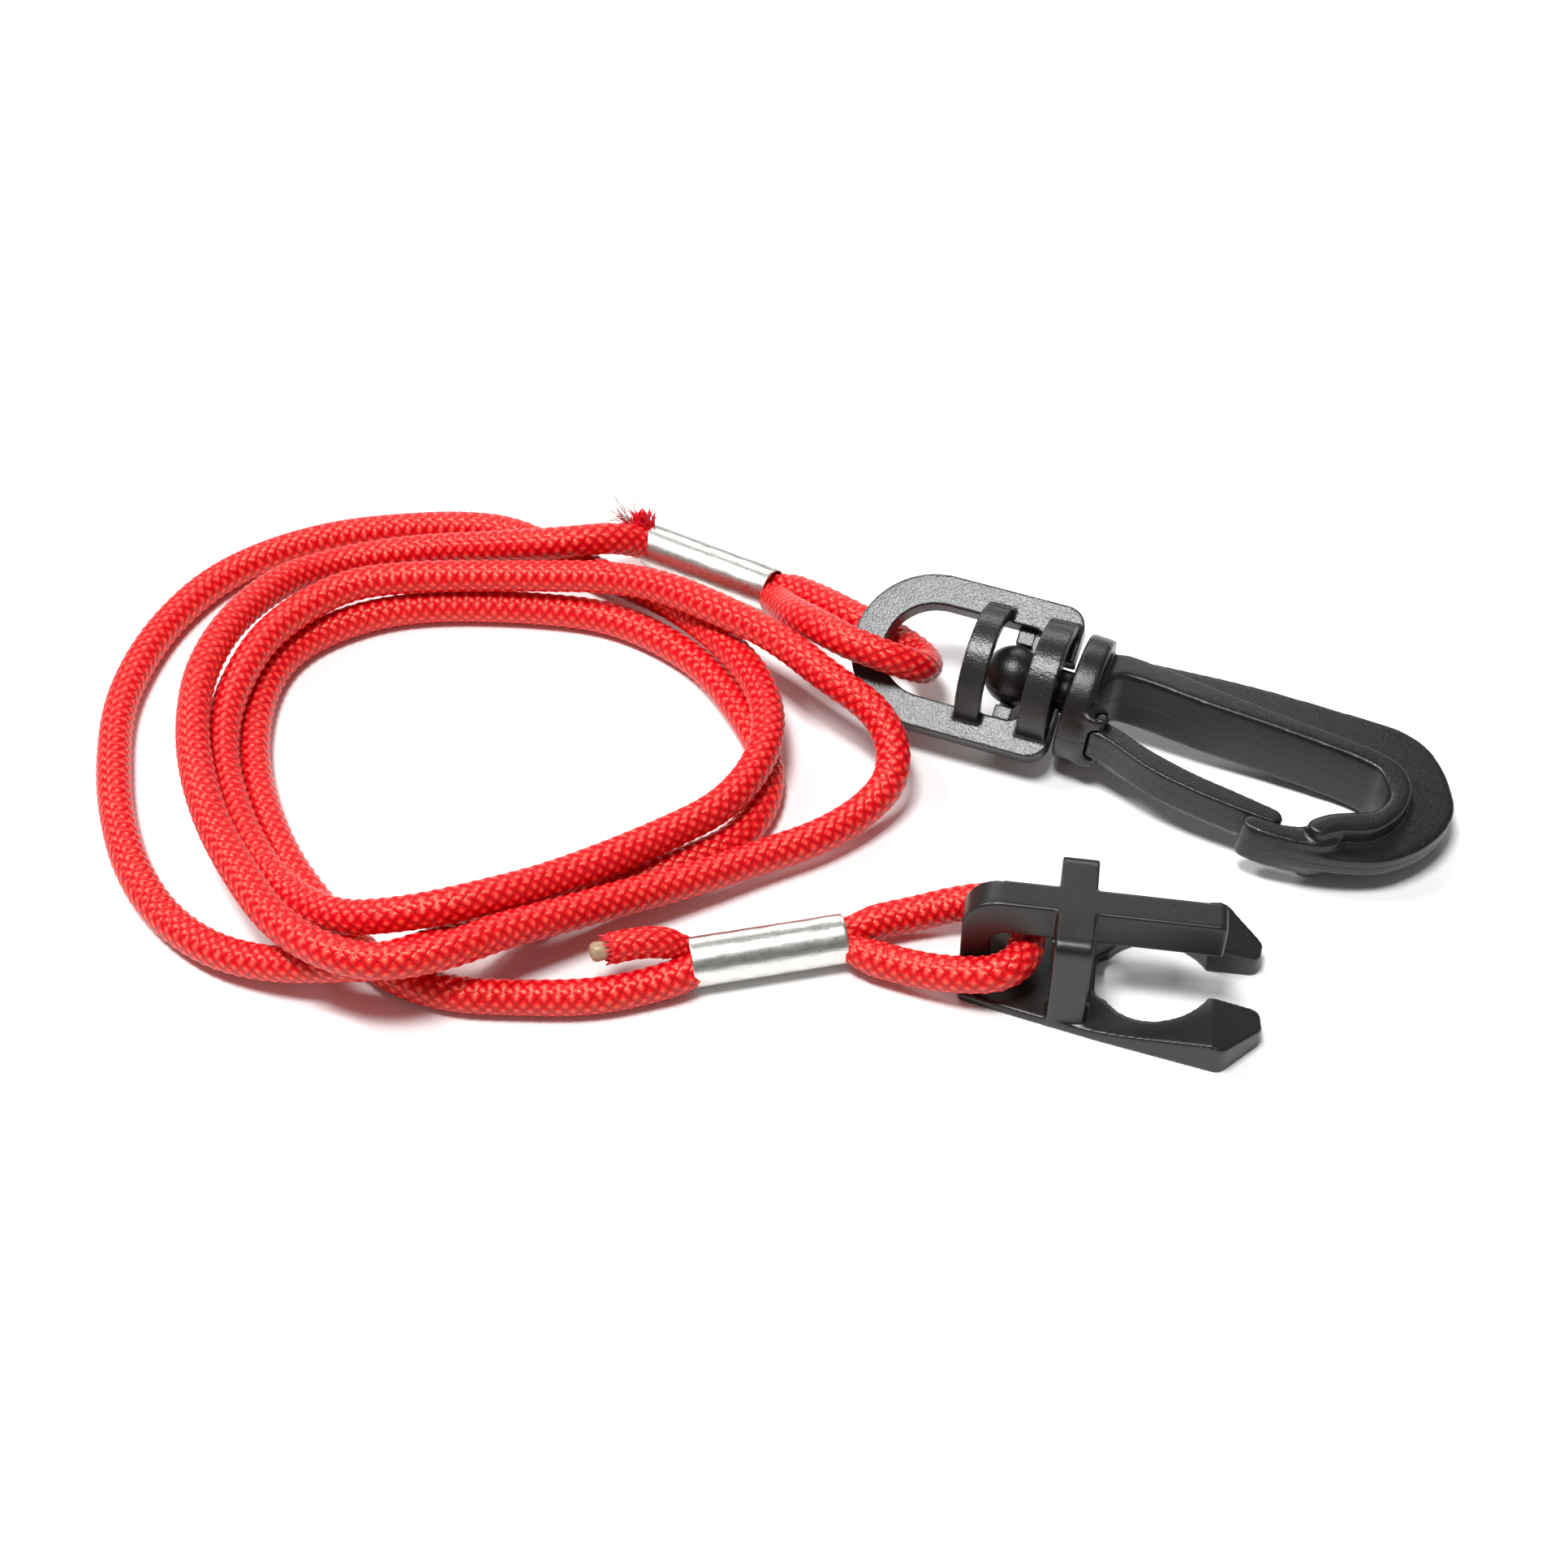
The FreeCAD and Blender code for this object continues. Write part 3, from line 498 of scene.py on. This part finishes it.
def moulded(node, body, to_row, voxel, softness, material):
    """A CAD piece with the rounded edges and soft inner corners that a mould gives. It is remeshed in
    its own frame, in millimetres, and then goes back to its place."""
    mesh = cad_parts[node].data.copy()
    mesh.transform(to_row.inverted())
    shape = bmesh.new()
    shape.from_mesh(mesh)
    bmesh.ops.remove_doubles(shape, verts=shape.verts, dist=WELD_MM)
    shape.to_mesh(mesh)
    shape.free()
    carrier = bpy.data.objects.new("carrier", mesh)
    bpy.context.scene.collection.objects.link(carrier)
    remesh = carrier.modifiers.new("remesh", "REMESH")
    remesh.mode = "VOXEL"
    remesh.voxel_size = voxel
    soften = carrier.modifiers.new("soften", "SMOOTH")
    soften.factor = HALF_WAY
    soften.iterations = softness
    soft = bpy.data.meshes.new_from_object(carrier.evaluated_get(bpy.context.evaluated_depsgraph_get()))
    soft.name = f"{node}_moulded"
    bpy.data.objects.remove(carrier)
    heights = np.zeros(len(soft.vertices) * 3, dtype=np.float32)
    soft.vertices.foreach_get("co", heights)
    across = soft.attributes.new("across_mould", "FLOAT", "POINT")
    across.data.foreach_set("value", heights.reshape(-1, 3)[:, 2].copy())
    soft.transform(to_row)
    piece = place_mesh(f"{node}_moulded", soft, material, body)
    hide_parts(node)


def make_plastics():
    hook_black = plastic_material(
        "black_plastic", dark=(0.007, 0.006, 0.006), light=(0.013, 0.011, 0.010), roughness=0.30,
        grain_size=0.22 * MM, grain_depth=0.040 * MM, parting=True,
    )
    grained = plastic_material(
        "black_grained_plastic", dark=(0.014, 0.014, 0.014), light=(0.026, 0.026, 0.026), roughness=0.30,
        grain_size=0.34 * MM, grain_depth=0.060 * MM, sparkle=0.15,
    )
    key_black = plastic_material(
        "key_plastic", dark=(0.010, 0.009, 0.008), light=(0.016, 0.014, 0.013), roughness=0.33,
        grain_size=0.15 * MM, grain_depth=0.014 * MM,
    )
    moulded("hook_body", "hook", HOOK, voxel=0.22, softness=26, material=hook_black)
    moulded("hook_gate", "gate", HOOK, voxel=0.16, softness=22, material=hook_black)
    moulded("swivel_eye", "eye", EYE, voxel=0.17, softness=5, material=grained)
    moulded("stop_switch_key", "key", KEY, voxel=0.18, softness=8, material=key_black)


# ---------------------------------------------------------------- ferrules


FERRULE_AROUND = 96
FERRULE_ROWS = 60
LIP = 0.12 * MM
DENTS_PER_METRE = 420
DENT_DEPTH = 0.025 * MM
LAP_RISE = 0.16 * MM
LAP_DIP = 0.10 * MM
LAP_SEAM = math.radians(62)


def make_ferrule(name, ends, seam, node, material):
    """Rolled and crimped metal tube with thin eased rims, open at both ends. seam is the angle of its lap, or
    None where the lap lies out of sight underneath."""
    start, end = np.array(ends[0]), np.array(ends[1])
    length = np.linalg.norm(end - start)
    forward = (end - start) / length
    side = np.cross((0.0, 0.0, 1.0), forward)
    side /= np.linalg.norm(side)
    up = np.cross(forward, side)
    inner = FERRULE_RADIUS - FERRULE_WALL
    profile = [(x, FERRULE_RADIUS) for x in np.linspace(LIP, length - LIP, FERRULE_ROWS)]
    ease = 0.3 * LIP
    middle = FERRULE_RADIUS - 0.5 * FERRULE_WALL
    profile += [(length - ease, FERRULE_RADIUS - ease), (length, middle), (length - ease, inner + ease)]
    profile += [(x, inner) for x in np.linspace(length - LIP, LIP, 12)]
    profile += [(ease, inner + ease), (0.0, middle), (ease, FERRULE_RADIUS - ease)]
    points = []
    places = []
    for x, radius in profile:
        for column in range(FERRULE_AROUND):
            angle = 2 * math.pi * column / FERRULE_AROUND
            dent = noise.noise(Vector((x * DENTS_PER_METRE, 2.1 * math.cos(angle), 2.1 * math.sin(angle))))
            here = radius - 0.03 * MM + DENT_DEPTH * dent
            if seam is not None and radius > inner + 0.5 * FERRULE_WALL:
                past = (angle - seam) % (2 * math.pi)
                here += LAP_RISE * math.exp(-past / 0.45) - LAP_DIP * math.exp(-(2 * math.pi - past) / 0.08)
            points.append(start + forward * x + here * (math.cos(angle) * side + math.sin(angle) * up))
            places.append((x / MM, angle * FERRULE_RADIUS / MM, radius / MM))
    faces = []
    for row in range(len(profile)):
        below = (row + 1) % len(profile)
        for column in range(FERRULE_AROUND):
            after = (column + 1) % FERRULE_AROUND
            near, far = row * FERRULE_AROUND, below * FERRULE_AROUND
            faces.append((near + after, near + column, far + column, far + after))
    piece = mesh_object(name, points, faces, material, "lanyard", "tinned_metal")
    attribute = piece.data.attributes.new("tube_place", "FLOAT_VECTOR", "POINT")
    attribute.data.foreach_set("vector", np.array(places, dtype=np.float32).ravel())
    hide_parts(node)


def make_ferrules():
    metal = metal_material()
    make_ferrule("ferrule_hook_end", FERRULE_HOOK_END, None, "crimp_ferrule_hook_end", metal)
    make_ferrule("ferrule_key_end", FERRULE_KEY_END, LAP_SEAM, "crimp_ferrule_key_end", metal)


# ---------------------------------------------------------------- cord

# The loop through the swivel eye, in metres in the row frame. It starts and ends in its ferrule.
HOOK_LOOP = [
    (-0.0332, 0.0308, 0.0043), (-0.0314, 0.0293, 0.0046), (-0.0300, 0.0250, 0.0067),
    (-0.0285, 0.0202, 0.0098), (-0.0258, 0.0159, 0.0118), (-0.0222, 0.0127, 0.0120),
    (-0.0190, 0.0112, 0.0117), (-0.0160, 0.0106, 0.0108), (-0.0134, 0.0113, 0.0091),
    (-0.0123, 0.0134, 0.0073), (-0.0127, 0.0164, 0.0060), (-0.0148, 0.0193, 0.0057),
    (-0.0178, 0.0214, 0.0059), (-0.0209, 0.0233, 0.0063), (-0.0242, 0.0264, 0.0058),
    (-0.0270, 0.0292, 0.0050), (-0.0299, 0.0314, 0.0045), (-0.0326, 0.0324, 0.0043),
]
# The loop through the key's arch, in millimetres in the key's own frame. It starts and ends in its ferrule.
KEY_LOOP = [
    (-25.9, -0.9, 2.9), (-24.0, -1.7, 2.8), (-20.7, -2.6, 2.7), (-16.1, -3.6, 3.0), (-11.6, -4.4, 4.0),
    (-7.7, -4.5, 5.0), (-5.1, -2.3, 5.5), (-4.9, 1.8, 5.5), (-5.9, 5.1, 5.4), (-9.4, 6.5, 4.9),
    (-14.0, 6.1, 3.5), (-18.0, 4.8, 2.7), (-21.8, 3.2, 2.7), (-24.6, 1.3, 2.9), (-26.2, 0.5, 2.9),
]
# A distance that stands for the far end of a cord, since a negative distance counts back from there.
AT_END = -1e-9
NECK_RADIUS = 1.55 * MM
SQUEEZED_RADII = [(0.0, 1.9 * MM), (1.5 * MM, 2.25 * MM), (-1.5 * MM, 2.25 * MM), (AT_END, 1.9 * MM)]


def make_cords():
    red = braid_material()
    route = [ROUTE_START_INSIDE] + LAY_ROUTE + [ROUTE_END_INSIDE]
    radii = [(0.0, 1.6 * MM), (1.2 * MM, 1.9 * MM), (4.0 * MM, CORD_RADIUS),
             (-4.0 * MM, CORD_RADIUS), (-1.2 * MM, 1.9 * MM), (AT_END, 1.6 * MM)]
    lay, line, length = braid_tube("cord_turns", route, radii, red, "lanyard")
    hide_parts("cord_lay")
    for end, ends in (("hook_end", FERRULE_HOOK_END), ("key_end", FERRULE_KEY_END)):
        inside = [tuple(ends[0].lerp(ends[1], share)) for share in (0.06, 0.35, 0.65, 0.94)]
        squeezed, _, _ = braid_tube(f"squeezed_strands_{end}", inside, SQUEEZED_RADII, red, "lanyard")
        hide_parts(f"squeezed_cord_{end}")
    neck = [(0.0, NECK_RADIUS), (1.6 * MM, NECK_RADIUS), (4.5 * MM, CORD_RADIUS),
            (-4.5 * MM, CORD_RADIUS), (-1.6 * MM, NECK_RADIUS), (AT_END, NECK_RADIUS)]
    loop, line, length = braid_tube("cord_loop_at_hook", HOOK_LOOP, neck, red, "lanyard")
    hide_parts("cord_hook_eye")
    key_route = [tuple(KEY @ Vector(point)) for point in KEY_LOOP]
    loop, line, length = braid_tube("cord_loop_at_key", key_route, neck, red, "lanyard")
    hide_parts("cord_key_eye")
    return red


TUFT_ROOT = (-0.0485, 0.0424, 0.0050)
TUFT_COUNT = 60
WISP_COUNT = 22
FRINGE_COUNT = 30
FRINGE_RADIUS = 1.45 * MM
TAIL_ROUTE = [
    (-0.0392, -0.0293, 0.0033), (-0.0410, -0.0290, 0.0041), (-0.0436, -0.0292, 0.0054),
    (-0.0466, -0.0299, 0.0060), (-0.0492, -0.0308, 0.0061),
]


def make_tails(red):
    """The cut ends of the cord: a frayed tuft with clear core fibres, and a short end with a melted core."""
    generator = np.random.default_rng(7)
    yarn = fibre_material("red_yarn", (0.80, 0.012, 0.03), 0.0)
    clear = fibre_material("core_fibre", (0.70, 0.66, 0.60), 0.15)
    melt = fibre_material("core_melt", (0.42, 0.27, 0.16), 0.0)
    root = np.array(TUFT_ROOT)
    tufts = []
    for _ in range(TUFT_COUNT):
        aim = np.array((-0.15, 0.20, 0.95)) + 0.24 * generator.normal(size=3) * (1.3, 0.5, 0.6)
        start = root + 0.75 * MM * generator.normal(size=3) * (1.2, 0.5, 0.5)
        length = generator.uniform(1.5, 3.4) * MM
        width = generator.uniform(0.16, 0.32) * MM
        line = bent_line(start, aim, 0.22, length, 6, generator)
        tufts.append(strand(line, [width, width, 0.9 * width, 0.75 * width, 0.5 * width, 0.12 * width]))
    tuft = mesh_object("frayed_tail_hook_end", *join_strands(tufts), yarn, "lanyard", "red_braid")
    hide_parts("cord_tail_hook_end")
    wisps = []
    for _ in range(WISP_COUNT):
        aim = np.array((-0.9, 0.10, 0.55)) + 0.35 * generator.normal(size=3)
        start = root + np.array((-1.4, 0.5, 0.9)) * MM + 0.4 * MM * generator.normal(size=3)
        line = bent_line(start, aim, 0.5, generator.uniform(1.6, 3.8) * MM, 9, generator)
        wisps.append(strand(line, [0.06 * MM] * 8 + [0.03 * MM], 5))
    wisp = mesh_object("core_fibres_hook_end", *join_strands(wisps), clear, "lanyard", "core_fibre")
    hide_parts("core_end_hook_end")
    radii = [(0.0, 1.0 * MM), (2.0 * MM, 1.3 * MM), (4.5 * MM, 1.75 * MM), (AT_END, 1.75 * MM)]
    tail, line, _ = braid_tube("tail_key_end", TAIL_ROUTE, radii, red, "lanyard")
    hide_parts("cord_tail_key_end")
    tip, before = line[-1], line[-4]
    ahead = (tip - before) / np.linalg.norm(tip - before)
    fringe = []
    across = np.array((-ahead[1], ahead[0], 0.0))
    up = np.array((0, 0, 1))
    for number in range(FRINGE_COUNT):
        angle = 2 * math.pi * number / FRINGE_COUNT
        outward = math.cos(angle) * across + math.sin(angle) * up
        start = tip - 0.5 * MM * ahead + FRINGE_RADIUS * outward
        line = bent_line(start, ahead, 0.25, generator.uniform(0.7, 1.5) * MM, 4, generator)
        fringe.append(strand(line, [0.22 * MM, 0.20 * MM, 0.15 * MM, 0.05 * MM]))
    edge = mesh_object("tail_fringe_key_end", *join_strands(fringe), yarn, "lanyard", "red_braid")
    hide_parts("cord_tail_key_end")
    core_line = [tip - 0.8 * MM * ahead, tip, tip + 0.9 * MM * ahead, tip + 1.7 * MM * ahead,
                 tip + 2.1 * MM * ahead, tip + 2.3 * MM * ahead]
    core_radii = [1.05 * MM, 1.12 * MM, 1.10 * MM, 1.15 * MM, 0.95 * MM, 0.45 * MM]
    core_shape = strand(core_line, core_radii, 24)
    core = mesh_object("melted_core_key_end", *core_shape, melt, "lanyard", "core_melt")
    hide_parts("core_end_key_end")


# ---------------------------------------------------------------- the scene

add_camera()
make_tails(make_cords())
make_ferrules()
make_plastics()
add_light()
add_floor()
bpy.context.scene.view_settings.view_transform = "Standard"
